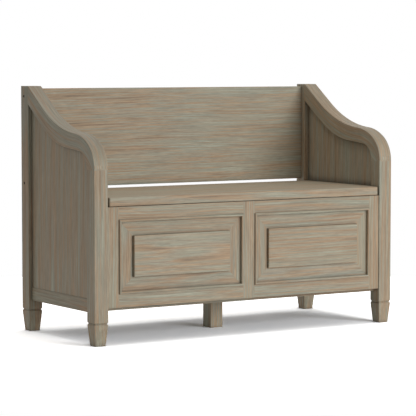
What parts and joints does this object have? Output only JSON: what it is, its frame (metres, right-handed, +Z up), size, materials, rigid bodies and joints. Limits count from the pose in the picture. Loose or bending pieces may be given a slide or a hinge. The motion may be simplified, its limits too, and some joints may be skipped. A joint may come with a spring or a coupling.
{
  "type": "entryway storage bench",
  "caption": "Wooden entryway bench with S-curved arms, a plain backrest, a panelled storage box and a lift-up hinged seat on tapered feet.",
  "frame": {"origin": "centre of the bench's footprint, on the floor", "axes": "+X to the sitter's left as seen from the front (the viewer's right), +Y to the rear, +Z up"},
  "size_m": [1.07, 0.4584, 0.749],
  "materials": {
    "weathered_wood": "grey-brown distressed stain, satin, open grain",
    "dowel_wood": "raw beech",
    "hinge_steel": "dark bronzed steel, satin",
    "black_steel": "black oxide",
    "zinc_steel": "zinc plated",
    "bumper_rubber": "matt"
  },
  "bodies": {
    "frame": {"arm_dowels": "dowel_wood", "backrest": "weathered_wood", "backrest_barrel_nuts": "zinc_steel", "backrest_bolts": "black_steel", "box_back": "weathered_wood", "box_back_dowels": "dowel_wood", "centre_hinge_fixed_leaf": "hinge_steel", "centre_hinge_pin": "hinge_steel", "centre_leg": "weathered_wood", "centre_leg_stud": "zinc_steel", "floor_bearer": "weathered_wood", "floor_panel": "weathered_wood", "front_centre_stile": "weathered_wood", "front_floor_cleat": "weathered_wood", "front_frame_dowels": "dowel_wood", "left_arm_rail": "weathered_wood", "left_box_end": "weathered_wood", "left_floor_cleat": "weathered_wood", "left_front_bottom_rail": "weathered_wood", "left_front_post": "weathered_wood", "left_front_stile": "weathered_wood", "left_front_top_rail": "weathered_wood", "left_hinge_fixed_leaf": "hinge_steel", "left_hinge_pin": "hinge_steel", "left_panel_bottom_moulding": "weathered_wood", "left_panel_inner_moulding": "weathered_wood", "left_panel_outer_moulding": "weathered_wood", "left_panel_top_moulding": "weathered_wood", "left_raised_panel": "weathered_wood", "left_rear_post": "weathered_wood", "left_side_panel": "weathered_wood", "left_side_rail": "weathered_wood", "lid_bumpers": "bumper_rubber", "rear_floor_cleat": "weathered_wood", "right_arm_rail": "weathered_wood", "right_box_end": "weathered_wood", "right_floor_cleat": "weathered_wood", "right_front_bottom_rail": "weathered_wood", "right_front_post": "weathered_wood", "right_front_stile": "weathered_wood", "right_front_top_rail": "weathered_wood", "right_hinge_fixed_leaf": "hinge_steel", "right_hinge_pin": "hinge_steel", "right_panel_bottom_moulding": "weathered_wood", "right_panel_inner_moulding": "weathered_wood", "right_panel_outer_moulding": "weathered_wood", "right_panel_top_moulding": "weathered_wood", "right_raised_panel": "weathered_wood", "right_rear_post": "weathered_wood", "right_side_panel": "weathered_wood", "right_side_rail": "weathered_wood"},
    "lid": {"centre_hinge_lid_leaf": "hinge_steel", "left_hinge_lid_leaf": "hinge_steel", "right_hinge_lid_leaf": "hinge_steel", "seat_lid": "weathered_wood"}
  },
  "joints": [
    {"name": "lid_hinge", "type": "hinge", "parent": "frame", "child": "lid", "pos_m": [0, 0.18855, 0.40425], "axis": [-1, 0, 0], "range_deg": [0, 60]}
  ]
}
